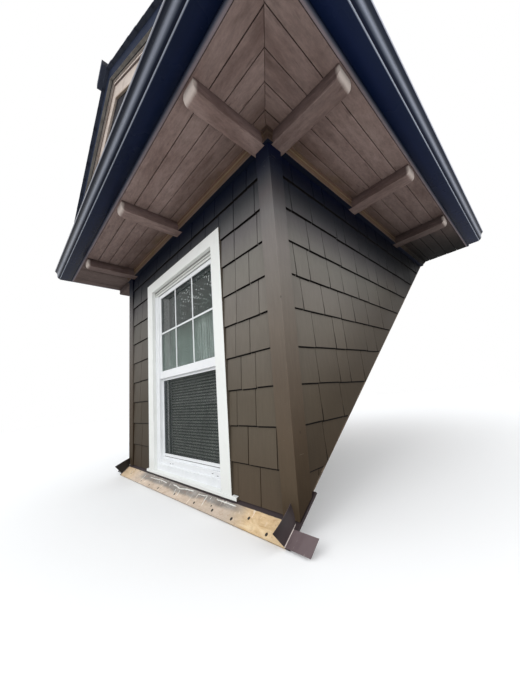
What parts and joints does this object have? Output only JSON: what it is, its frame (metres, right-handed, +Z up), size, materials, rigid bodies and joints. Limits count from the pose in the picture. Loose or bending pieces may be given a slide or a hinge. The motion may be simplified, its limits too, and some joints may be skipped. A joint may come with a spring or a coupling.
{
  "type": "dormer window",
  "caption": "Gabled roof dormer with a double-hung window, lapped siding, a boxed eave on beam ends, K-style gutters and bent step flashings.",
  "frame": {"origin": "on the sloping underside of the plywood strip at the wall's foot, half way along the front wall's width and half way through its thickness", "axes": "+X to the right along the front wall, +Y back into the main roof, +Z up; the front faces -Y"},
  "size_m": [3.2081, 4.261, 3.0045],
  "materials": {
    "bare_plywood": "bare, weathered",
    "framing_timber": "bare sawn",
    "olive_brown_paint": "painted, matt",
    "white_trim_paint": "painted, satin",
    "white_vinyl": "extruded, satin",
    "window_glass": "clear",
    "screen_mesh": "dark mesh in a thin frame",
    "blind_slats": "painted, satin",
    "taupe_paint": "painted, worn",
    "ochre_paint": "painted, dirty",
    "cream_paint": "painted, satin",
    "navy_paint": "painted, satin",
    "navy_gutter_sheet": "coated, satin",
    "dark_panel_paint": "painted, matt",
    "roof_shingles": "mineral-coated asphalt felt, rough",
    "brown_flashing": "coated, matt",
    "black_flashing": "coated, matt"
  },
  "bodies": {
    "root": {"apron_board": "bare_plywood", "side_soles": "framing_timber", "front_wall": "framing_timber", "left_cheek": "framing_timber", "right_cheek": "framing_timber", "left_corner_board": "olive_brown_paint", "right_corner_board": "olive_brown_paint", "front_siding": "olive_brown_paint", "left_siding": "olive_brown_paint", "right_siding": "olive_brown_paint", "window_casing": "white_trim_paint", "window_sill": "white_trim_paint", "window_frame": "white_vinyl", "upper_sash": "white_vinyl", "lower_sash": "white_vinyl", "window_glass": "window_glass", "insect_screen": "screen_mesh", "window_blind": "blind_slats", "front_soffit": "taupe_paint", "left_soffit": "taupe_paint", "right_soffit": "taupe_paint", "lookouts": "taupe_paint", "front_bed_moulding": "ochre_paint", "left_bed_moulding": "ochre_paint", "right_bed_moulding": "ochre_paint", "front_fascia": "navy_paint", "left_fascia": "navy_paint", "right_fascia": "navy_paint", "front_gutter": "navy_gutter_sheet", "right_gutter": "navy_gutter_sheet", "gable_panel": "dark_panel_paint", "left_rake_trim": "cream_paint", "right_rake_trim": "cream_paint", "left_rake_fascia": "navy_paint", "right_rake_fascia": "navy_paint", "ridge_board": "framing_timber", "rafters": "framing_timber", "left_roof_boarding": "framing_timber", "right_roof_boarding": "framing_timber", "left_shingles": "roof_shingles", "right_shingles": "roof_shingles", "ridge_cap": "roof_shingles", "left_flashing": "black_flashing", "right_flashing": "brown_flashing"}
  },
  "joints": []
}
